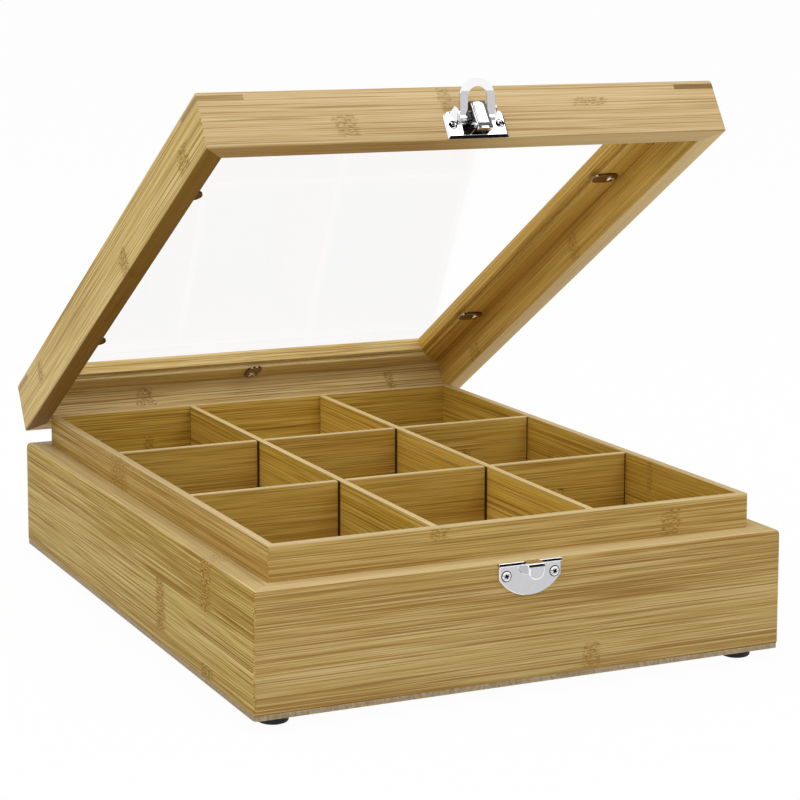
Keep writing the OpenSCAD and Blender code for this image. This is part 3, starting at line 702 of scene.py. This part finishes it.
screw_seats("keeper_screw_seats", "base", KEEPER_X, KEEPER_SCREW_X, KEEPER_SCREW_Z, RECESS, 0.5)
keeper_screws = [Vector((KEEPER_X + i * KEEPER_SCREW_X, FRONT - 0.6, KEEPER_SCREW_Z)) for i in (-1, 1)]


# Hinges
# Two pressed steel hinges on the back: cranked leaves, a pin with headed ends, and cross-head screws.
for where in ("left", "right"):
    for body, leaf in (("base", f"hinge_{where}_base_leaf"), ("lid", f"hinge_{where}_lid_leaf")):
        finished(f"{where}_hinge_{body}_leaf", copied(leaf), hinge_metal, body, leaf,
                 slot="hinge_metal", bevel=0.15)
    pin = f"hinge_{where}_pin"
    finished(f"{where}_hinge_pin", copied(pin), hinge_metal, "base", pin, slot="hinge_metal", bevel=0.3)


# Latch plate
# A chromed plate with sloping side and lower edges, screwed to the lid's front.
# Two ears carry the lever between them, and a sloping cheek stands beside each leg of the loop.
LATCH_X, LATCH_HALF, LATCH_LOW, LATCH_HIGH, LATCH_CORNER = -0.6, 14.0, 52.0, 64.5, 2.6
LATCH_SCREW_X, LATCH_SCREW_Z, LATCH_RECESS = 10.8, 58.1, 2.05
LEVER_OUT, LEVER_UP, EAR_INSIDE, EAR_OUTSIDE = 6.2, 54.9, 3.6, 4.1
CHEEK = ((10.8, 63.6, 1.3), (9.3, 65.2, 4.4), (8.4, 63.4, 5.2), (8.4, 59.6, 1.3))
on_latch = out_of_front(LATCH_X)


def latch_outline(left, right, low, high):
    """The plate's front outline, drawn in from its four edges."""
    left, right = left - LATCH_HALF, LATCH_HALF - right
    low, top, radius = LATCH_LOW + low, LATCH_HIGH - high, LATCH_CORNER - high
    return eased_outline([(left, low, 0), (right, low, 0), (right, top, radius), (left, top, radius)], 6)


def on_edge(out, up, across):
    """A point on the latch, for outlines that are seen from the side."""
    return on_latch(across, up, out)


slopes = [(0.0, 0, 0, 0, 0), (0.3, 0, 0, 0, 0), (1.3, 0.8, 1.05, 1.0, 0.1), (1.4, 0.9, 1.12, 1.15, 0.3)]
latch_holes = [circle(i * LATCH_SCREW_X, LATCH_SCREW_Z, LATCH_RECESS) for i in (-1, 1)]
loops = [[latch_outline(*insets), *latch_holes] for level, *insets in slopes]
parts = [sheet_of(loops, [slope[0] for slope in slopes], on_latch)]
for i in (-1, 1):
    ear = [Vector((0.8, LEVER_UP + 1.6)), Vector((0.8, LEVER_UP - 1.6))]
    ear += [Vector((LEVER_OUT + 1.5 * math.sin(a), LEVER_UP - 1.5 * math.cos(a)))
            for a in (math.pi * k / 12 for k in range(13))]
    parts.append(sheet_of([[ear]] * 2, (EAR_INSIDE * i, EAR_OUTSIDE * i), on_edge))
    cheek = [Vector(point) for point in CHEEK]
    through = (cheek[1] - cheek[0]).cross(cheek[3] - cheek[0]).normalized() * 0.7
    through *= math.copysign(1, through.x)
    rings = [[point + shift for point in cheek] for shift in (Vector(), through)]
    parts.append(skin_over([[on_latch(i * across, up, out) for across, up, out in ring] for ring in rings]))
latch = finished("latch_back_plate", joined(*parts), chrome, "lid", "latch_plate",
                 slot="chrome", move=OPENED, bevel=0.1)
# The right cheek's outward faces take the dark steel: a painted dark reflection.
latch.data.materials.append(painted_shade_steel)
for face in latch.data.polygons:
    face.material_index = int(face.center.x > (LATCH_X + 12.6) * MM and face.normal.x > 0.4)
finished("lever_axle", copied("lever_pin"), chrome, "lid", "lever_pin", slot="chrome", bevel=0.1)
screw_seats("latch_screw_seats", "lid", LATCH_X, LATCH_SCREW_X, LATCH_SCREW_Z, LATCH_RECESS, 1.1,
            OPENED)
latch_screws = [Vector((LATCH_X + i * LATCH_SCREW_X, FRONT - 0.9, LATCH_SCREW_Z)) for i in (-1, 1)]


# Lever and loop
# The lever is a folded channel with a round heel, in dark steel that paints its shade, and a chromed
# rounded face.
# The loop is a strip bent to a U, whose arch leans back. It hangs on a pin through the lever.
LEVER_HALF, HEEL, LEVER_TOP, LEVER_LEAN, LEVER_SHEET, PAD = 3.5, 2.4, 65.7, 1.1, 0.8, 0.75
LOOP_OUT, LOOP_UP = 3.0, 60.1
front = LEVER_OUT + HEEL - PAD


def on_lever(across, up, raised):
    """A point on the lever's face, which leans back towards its top."""
    lean = LEVER_LEAN * max(up - LEVER_UP, 0) / (LEVER_TOP - LEVER_UP)
    return on_latch(across, up, front - lean + raised)


heel = [Vector((LEVER_OUT + (HEEL - PAD) * math.cos(a), LEVER_UP + HEEL * math.sin(a)))
        for a in (-math.pi * 0.95 * (1 - k / 28) for k in range(29))]
side = [*heel, Vector((front - LEVER_LEAN, LEVER_TOP + 0.4)), Vector((front - 3.2, LEVER_TOP + 0.4)),
        Vector((LOOP_OUT - 1.4, LOOP_UP + 1.6)), Vector((LOOP_OUT - 1.4, LOOP_UP - 1.2))]
block = sheet_of([[side]] * 2, (-LEVER_HALF, LEVER_HALF), on_edge)
hollow_out, hollow_up = HEEL - PAD - 0.7, HEEL - LEVER_SHEET
hollow = [Vector((LEVER_OUT + hollow_out * math.cos(a), LEVER_UP + hollow_up * math.sin(a)))
          for a in (-math.pi * (1 - k / 16) for k in range(17))]
hollow += [Vector((front - LEVER_SHEET - LEVER_LEAN, LEVER_TOP - 0.4)), Vector((-1, LEVER_TOP - 0.4)),
           Vector((-1, LEVER_UP))]
inside = LEVER_HALF - LEVER_SHEET
lever = cut(block, sheet_of([[hollow]] * 2, (-inside, inside), on_edge))
# The channel is in the dark steel: painted shade round the chromed face.
finished("draw_lever", lever, painted_shade_steel, "lever", "latch_lever", slot="chrome", move=OPENED, bevel=0.2)

PAD_EDGES = (-2.7, 2.4, 55.1, LEVER_TOP)
rounding = [(-0.3, 0), (0.25, 0), (0.47, 0.06), (0.63, 0.2), (0.72, 0.42), (0.75, 0.75)]


def plate_outline(edges, inset, radii, steps):
    """An upright plate's outline, drawn in by inset.

    edges are left, right, low and high. radii are for the lower, the left and the right upper corners."""
    left, right, low, high = edges
    return eased_outline([
        (left + inset, low + inset, radii[0]), (right - inset, low + inset, radii[0]),
        (right - inset, high - inset, radii[2]), (left + inset, high - inset, radii[1])], steps)


pad_loops = [[plate_outline(PAD_EDGES, inset, (0.2, 1.6 - inset, 2.3 - inset), 8)]
             for level, inset in rounding]
pad = sheet_of(pad_loops, [level for level, inset in rounding], on_lever)
LOW_BAR = (-3.45, 3.45, 52.6, 53.7), (-1.2, 0.3, 0.5, 0.58)
LEFT_BAR = (-3.45, -3.0, 54.2, 64.8), (-0.3, 0.2, 0.4, 0.48)
bars = []
for edges, levels in (LOW_BAR, LEFT_BAR):
    loops = [[plate_outline(edges, inset, (0.1, 0.1, 0.1), 4)] for inset in (0, 0, 0.06, 0.16)]
    bars.append(sheet_of(loops, levels, on_lever))
finished("draw_lever_face", joined(pad, *bars), chrome, "lever", slot="chrome", move=OPENED, sharp=50)
finished("loop_axle", copied("loop_pin"), chrome, "lever", "loop_pin", slot="chrome", bevel=0.1)
finished("draw_loop", copied("latch_loop"), chrome, "loop", "latch_loop", slot="chrome", bevel=0.2)


# Screws
# Small cross-head screws with domed heads, all from one set of nodes. Each stands at its own turn.
def node_group(name, numbers):
    """An empty geometry tree with a mesh and the named sizes going in."""
    tree = bpy.data.node_groups.new(name, "GeometryNodeTree")
    tree.interface.new_socket("Geometry", in_out="INPUT", socket_type="NodeSocketGeometry")
    for number in numbers:
        tree.interface.new_socket(number, in_out="INPUT", socket_type="NodeSocketFloat")
    tree.interface.new_socket("Finish", in_out="INPUT", socket_type="NodeSocketMaterial")
    tree.interface.new_socket("Geometry", in_out="OUTPUT", socket_type="NodeSocketGeometry")
    entry, leave = tree.nodes.new("NodeGroupInput"), tree.nodes.new("NodeGroupOutput")

    def add(kind, settings=None, **sockets):
        made = tree.nodes.new(kind)
        for key, value in (settings or {}).items():
            setattr(made, key, value)
        for key, value in sockets.items():
            key = key.replace("_", " ")
            for one in value if isinstance(value, list) else [value]:
                if isinstance(one, bpy.types.NodeSocket):
                    tree.links.new(one, made.inputs[key])
                else:
                    made.inputs[key].default_value = one
        return made.outputs[0]

    def number(operation, *values):
        made = tree.nodes.new("ShaderNodeMath")
        made.operation = operation
        for i, value in enumerate(values):
            if isinstance(value, bpy.types.NodeSocket):
                tree.links.new(value, made.inputs[i])
            else:
                made.inputs[i].default_value = value
        return made.outputs[0]

    def ending(piece):
        """Stands the piece on every point, at the point's own turn. Slots keep their painted shade."""
        turn = add("GeometryNodeInputNamedAttribute", {"data_type": "QUATERNION"}, Name="turn")
        points, finish = entry.outputs["Geometry"], entry.outputs["Finish"]
        copies = add("GeometryNodeInstanceOnPoints", Points=points, Instance=piece, Rotation=turn)
        real = add("GeometryNodeRealizeInstances", Geometry=copies)
        slotted = add("GeometryNodeMaterialSelection", Material=slot_painted_shade)
        rest = add("FunctionNodeBooleanMath", {"operation": "NOT"}, Boolean=slotted)
        made = add("GeometryNodeSetMaterial", Geometry=real, Selection=rest, Material=finish)
        tree.links.new(made, leave.inputs[0])

    return tree, entry.outputs, add, number, ending


SCREW_SIZES = ["Head Radius", "Head Height", "Shank Radius", "Shank Length"]
screw_tree, sizes, add, number, ending = node_group("cross-head screws", SCREW_SIZES)
radius, height, shank_length = sizes["Head Radius"], sizes["Head Height"], sizes["Shank Length"]
rise = number("MULTIPLY", height, 0.4)
squares = number("ADD", number("MULTIPLY", radius, radius), number("MULTIPLY", rise, rise))
dome = number("DIVIDE", squares, number("MULTIPLY", rise, 2.0))


def lifted(piece, up):
    """The piece raised by up."""
    return add("GeometryNodeTransform", Geometry=piece, Translation=add("ShaderNodeCombineXYZ", Z=up))


ball = add("GeometryNodeMeshUVSphere", Segments=48, Rings=64, Radius=dome)
disc = add("GeometryNodeMeshCylinder", Vertices=40, Radius=radius, Depth=height)
domed = [lifted(ball, number("SUBTRACT", height, dome)), lifted(disc, number("MULTIPLY", height, 0.5))]
head = add("GeometryNodeMeshBoolean", {"operation": "INTERSECT", "solver": "EXACT"}, Mesh_2=domed)
cutter = add("GeometryNodeMeshCone", Vertices=4, Radius_Top=number("MULTIPLY", radius, 1.05),
             Radius_Bottom=number("MULTIPLY", radius, 0.3), Depth=number("MULTIPLY", height, 1.4))
cutter = add("GeometryNodeTransform", Geometry=cutter, Rotation=(0, 0, math.pi / 4))
cutter = lifted(cutter, number("MULTIPLY", height, 0.2))
cutters = []
# The cross slots are coloured with painted shade.
for quarter in (0, 1):
    bar = add("GeometryNodeTransform", Geometry=cutter, Scale=(1, 0.42, 1),
              Rotation=(0, 0, quarter * math.pi / 2))
    cutters.append(add("GeometryNodeSetMaterial", Geometry=bar, Material=slot_painted_shade))
slotting = {"operation": "DIFFERENCE", "solver": "EXACT"}
head = add("GeometryNodeMeshBoolean", slotting, Mesh_1=head, Mesh_2=cutters)
shank = add("GeometryNodeMeshCylinder", Vertices=16, Radius=sizes["Shank Radius"], Depth=shank_length)
shank = lifted(shank, number("MULTIPLY", shank_length, -0.5))
ending(add("GeometryNodeJoinGeometry", Geometry=[shank, head]))


def stood(name, tree, spots, numbers, material, body, nodes):
    """Runs a tree on points at the spots, matrices in millimetres, and keeps one plain piece."""
    mesh = bpy.data.meshes.new(name)
    mesh.from_pydata([spot.to_translation() * MM for spot in spots], [], [])
    turns = mesh.attributes.new("turn", "QUATERNION", "POINT")
    for value, spot in zip(turns.data, spots):
        value.value = spot.to_quaternion()
    piece = bpy.data.objects.new(name, mesh)
    bpy.context.scene.collection.objects.link(piece)
    grow = piece.modifiers.new(name, "NODES")
    grow.node_group = tree
    for item in tree.interface.items_tree:
        if item.in_out == "INPUT" and item.name in numbers:
            grow[item.identifier] = numbers[item.name] * MM
        elif item.in_out == "INPUT" and item.name == "Finish":
            grow[item.identifier] = material
    made = bpy.data.meshes.new_from_object(piece.evaluated_get(bpy.context.evaluated_depsgraph_get()))
    piece.modifiers.clear()
    piece.data = made
    made.name = name
    made.shade_smooth()
    made.set_sharp_from_angle(angle=math.radians(32))
    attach(piece, body)
    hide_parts(*nodes)
    return piece


def facing(spot, out, spin):
    """A matrix at spot that looks along out and is spun about it by an angle in degrees."""
    turn = Vector((0, 0, 1)).rotation_difference(out) @ Quaternion((0, 0, 1), math.radians(spin))
    return Matrix.Translation(spot) @ turn.to_matrix().to_4x4()


PLATE_SCREW = {"Head Radius": 1.95, "Head Height": 0.9, "Shank Radius": 0.9, "Shank Length": 7}
LATCH_SCREW = PLATE_SCREW | {"Head Radius": 1.72}
HINGE_SCREW = {"Head Radius": 2.2, "Head Height": 0.9, "Shank Radius": 1.1, "Shank Length": 8}
CLIP_SCREW = {"Head Radius": 1.8, "Head Height": 0.7, "Shank Radius": 0.75, "Shank Length": 6.5}
HINGE_X, HINGE_SCREW_X, HINGE_SCREW_UP, LEAF = 74.0, 10.2, 9.5, 1.2
OUT = Vector((0, -1, 0))
spots = [facing(spot, OUT, 20 + 30 * i) for i, spot in enumerate(keeper_screws)]
stood("keeper_screws", screw_tree, spots, PLATE_SCREW, chrome, "base",
      ["keeper_screw_left", "keeper_screw_right"])
spots = [OPENED @ facing(spot, OUT, 10 + 35 * i) for i, spot in enumerate(latch_screws)]
stood("latch_plate_screws", screw_tree, spots, LATCH_SCREW, chrome, "lid",
      ["latch_screw_left", "latch_screw_right"])
for body, up, move in (("base", -1, Matrix()), ("lid", 1, OPENED)):
    spots = []
    for i in (-1, 1):
        for j in (-1, 1):
            spot = Vector((i * HINGE_X + j * HINGE_SCREW_X, -FRONT + LEAF, LEDGE + up * HINGE_SCREW_UP))
            spots.append(move @ facing(spot, -OUT, 17 * i + 31 * j))
    stood(f"hinge_{body}_screws", screw_tree, spots, HINGE_SCREW, hinge_metal, body,
          [f"hinge_left_{body}_screws", f"hinge_right_{body}_screws"])


# Glass clips
# Six flat oval clips under the flange, each held by one screw at its outer end, reach over the glass.
CLIP_LENGTH, CLIP_WIDTH, CLIP_THICK, CLIP_INSET, CLIP_Y = 13.0, 7.6, 1.15, 15.6, 79.0
CLIP_SIZES = ["Length", "Width", "Thickness", "Screw To End"]
clip_tree, sizes, add, number, ending = node_group("oval clips", CLIP_SIZES)
length, width = sizes["Length"], sizes["Width"]
oval = add("GeometryNodeCurvePrimitiveQuadrilateral", Width=width, Height=length)
corner_radius = number("MULTIPLY", width, 0.499)
oval = add("GeometryNodeFilletCurve", {"mode": "POLY"}, Curve=oval, Count=10, Radius=corner_radius)
flat = add("GeometryNodeFillCurve", {"mode": "NGONS"}, Curve=oval)
thick = add("GeometryNodeExtrudeMesh", Mesh=flat, Offset_Scale=sizes["Thickness"], Individual=False)
back = add("GeometryNodeFlipFaces", Mesh=flat)
clip = add("GeometryNodeJoinGeometry", Geometry=[back, thick])
clip = add("GeometryNodeMergeByDistance", Geometry=clip, Distance=1e-6)
shift = number("SUBTRACT", number("MULTIPLY", length, 0.5), sizes["Screw To End"])
ending(add("GeometryNodeTransform", Geometry=clip, Translation=add("ShaderNodeCombineXYZ", Y=shift)))

# Each clip's side of the lid, its place along that side and its screw's turn in degrees
CLIPS = {
    "front": (0, 0, 72), "right_front": (1, -CLIP_Y, -54), "right_back": (1, CLIP_Y, 45),
    "back": (2, 0, 63), "left_front": (3, CLIP_Y, 36), "left_back": (3, -CLIP_Y, -45),
}
under_flange = LID_RIM + FLANGE_UNDER
clip_spots, clip_screw_spots = [], []
for side, along, screw_turn in CLIPS.values():
    turn = Matrix.Rotation(side * math.pi / 2, 4, "Z")
    apart = BOX_WIDTH if side % 2 else BOX_DEPTH
    spot = turn @ Vector((along, -apart / 2 + CLIP_INSET, 0))
    down = Vector((spot.x, spot.y, under_flange - 0.05 - CLIP_THICK))
    clip_spots.append(OPENED @ Matrix.Translation(down) @ turn)
    clip_screw_spots.append(OPENED @ facing(down, Vector((0, 0, -1)), screw_turn))
clip_numbers = dict(zip(CLIP_SIZES, (CLIP_LENGTH, CLIP_WIDTH, CLIP_THICK, CLIP_WIDTH / 2)))
clips = stood("oval_glass_clips", clip_tree, clip_spots, clip_numbers, clip_painted_reflection, "lid",
              [f"clip_{where}" for where in CLIPS])
ease = clips.modifiers.new("eased edges", "BEVEL")
ease.width, ease.segments = 0.35 * MM, 3
ease.limit_method, ease.angle_limit = "ANGLE", math.radians(40)
stood("clip_screws", screw_tree, clip_screw_spots, CLIP_SCREW, chrome, "lid",
      [f"clip_screw_{where}" for where in CLIPS])


# Floor, light and camera
# A plain pale floor and soft studio light. Floor and backdrop are white where they are seen by the
# camera, in metal and through glass. Dark and grey cards round the latch show only in the metal.
FLOOR_SHARE, ROOM_LIGHT, FLOOR_REACH = 0.97, 0.62, 40


def seen_directly(tree):
    """1 for rays from the camera, from metal and through glass."""
    path = tree.nodes.new("ShaderNodeLightPath")
    total = path.outputs["Is Camera Ray"]
    for output in ("Is Glossy Ray", "Is Transmission Ray"):
        join = tree.nodes.new("ShaderNodeMath")
        join.operation = "MAXIMUM"
        tree.links.new(total, join.inputs[0])
        tree.links.new(path.outputs[output], join.inputs[1])
        total = join.outputs[0]
    return total


floor_finish = Finish("pale floor", Base_Color=(0.8, 0.8, 0.8, 1), Roughness=0.9, Specular_IOR_Level=0.1)
tree = floor_finish.tree
white = tree.nodes.new("ShaderNodeEmission")
share = tree.nodes.new("ShaderNodeMath")
share.operation, share.inputs[1].default_value = "MULTIPLY", FLOOR_SHARE
mix = tree.nodes.new("ShaderNodeMixShader")
tree.links.new(seen_directly(tree), share.inputs[0])
tree.links.new(share.outputs[0], mix.inputs[0])
tree.links.new(floor_finish.surface.outputs[0], mix.inputs[1])
tree.links.new(white.outputs[0], mix.inputs[2])
tree.links.new(mix.outputs[0], tree.nodes["Material Output"].inputs["Surface"])


def card(name, corners, material, faces=((0, 1, 2, 3),)):
    """A flat thing that isn't part of the object."""
    mesh = bpy.data.meshes.new(name)
    mesh.from_pydata(corners, [], faces)
    mesh.materials.append(material)
    made = bpy.data.objects.new(name, mesh)
    bpy.context.scene.collection.objects.link(made)
    return made


floor_level = -FOOT_HEIGHT * MM
floor_corners = [(i * FLOOR_REACH, j * FLOOR_REACH, floor_level) for i, j in ROUND_ORDER]
card("floor", floor_corners, floor_finish.material)

world = bpy.data.worlds.new("studio")
bpy.context.scene.world = world
world.use_nodes = True
tree = world.node_tree
lit = tree.nodes["Background"]
lit.inputs["Color"].default_value = (1.0, 0.985, 0.96, 1)
lit.inputs["Strength"].default_value = ROOM_LIGHT
shown = tree.nodes.new("ShaderNodeBackground")
shown.inputs["Color"].default_value = (1, 1, 1, 1)
mix = tree.nodes.new("ShaderNodeMixShader")
tree.links.new(seen_directly(tree), mix.inputs[0])
tree.links.new(lit.outputs[0], mix.inputs[1])
tree.links.new(shown.outputs[0], mix.inputs[2])
tree.links.new(mix.outputs[0], tree.nodes["World Output"].inputs["Surface"])

dark = Finish("dark screen", Base_Color=(0.012, 0.012, 0.012, 1), Roughness=1.0, Specular_IOR_Level=0.0)
pale = Finish("grey screen", Base_Color=(0, 0, 0, 1), Specular_IOR_Level=0.0,
              Emission_Color=(0.63, 0.63, 0.65, 1), Emission_Strength=1.0)


def metal_card(name, corners, finish, faces=((0, 1, 2, 3),)):
    """A card that only metal shows. It lights nothing and throws no shadow."""
    made = card(name, corners, finish.material, faces)
    made.visible_camera = made.visible_diffuse = made.visible_transmission = made.visible_shadow = False


def dark_screen(name, turns, rises, distance=3.0, steps=12):
    """A dark screen on a ball round the latch. turns go from the front to the right, in degrees."""
    def point(turn, rise):
        turn, rise = math.radians(turn), math.radians(rise)
        flat = distance * math.cos(rise)
        across, out = flat * math.sin(turn), flat * math.cos(turn)
        return (across, FRONT * MM - out, 0.1 + distance * math.sin(rise))
    turn_marks = [turns[0] + (turns[1] - turns[0]) * k / steps for k in range(steps + 1)]
    corners = [point(turn, rise) for turn in turn_marks for rise in rises]
    faces = [(2 * k, 2 * k + 1, 2 * k + 3, 2 * k + 2) for k in range(steps)]
    metal_card(name, corners, dark, faces)


dark_screen("screen_front_low", (-62, 45), (23, 34))
for rise in range(34, 78, 11):
    dark_screen(f"screen_front_{rise}", (-62, 31), (rise, rise + 11))
for rise in range(-1, 44, 9):
    dark_screen(f"screen_right_{rise}", (66, 150), (rise, rise + 9))


def floor_card(name, left, right, far, near, finish):
    """A card that lies just above the floor, for metal only."""
    spots = ((left, far), (right, far), (right, near), (left, near))
    metal_card(name, [(*spot, floor_level + 0.0005) for spot in spots], finish)


floor_card("screen_near", -0.02, 0.22, -0.44, -0.2, pale)
floor_card("screen_dark_far", -0.6, 0.9, -0.9, -0.46, dark)
metal_card("screen_ahead", [
    (0.3, -2.6, floor_level), (2.2, -2.0, floor_level), (2.2, -2.0, 0.3), (0.3, -2.6, 0.3)], pale)
metal_card("flag_above_keeper", [
    (0.0, -0.26, 0.1), (0.17, -0.26, 0.1), (0.17, -0.21, 0.185), (0.0, -0.21, 0.185)], dark)


def soft_light(name, place, target, size, power):
    """A round lamp of the given size in metres and power in watts that looks at the target."""
    lamp = bpy.data.lights.new(name, "AREA")
    lamp.shape, lamp.size, lamp.energy = "DISK", size, power
    made = bpy.data.objects.new(name, lamp)
    bpy.context.scene.collection.objects.link(made)
    made.location = place
    made.rotation_mode = "QUATERNION"
    made.rotation_quaternion = (Vector(target) - Vector(place)).to_track_quat("-Z", "Y")


soft_light("key light", (0.9, -1.2, 2.0), (0, 0, 0.1), 1.4, 12.5)
soft_light("left light", (-1.9, -0.7, 1.8), (0, 0, 0.08), 1.0, 6.5)
soft_light("top light", (-0.6, 0.15, 2.3), (0, 0, 0.05), 1.6, 15)

camera_data = bpy.data.cameras.new("camera")
camera = bpy.data.objects.new("camera", camera_data)
bpy.context.scene.collection.objects.link(camera)
bpy.context.scene.camera = camera
TURN, RISE = math.radians(-24.31), math.radians(7.2)
towards = Vector((math.sin(TURN) * math.cos(RISE), -math.cos(TURN) * math.cos(RISE), math.sin(RISE)))
camera.location = (-0.43661, -0.95352, 0.28755)
camera.rotation_mode = "QUATERNION"
camera.rotation_quaternion = (-towards).to_track_quat("-Z", "Y")
camera_data.sensor_width, camera_data.lens = 36, 104.09
camera_data.shift_x, camera_data.shift_y = 0.05, -0.175
camera_data.clip_start, camera_data.clip_end = 0.05, 120
bpy.context.scene.view_settings.view_transform = "Standard"
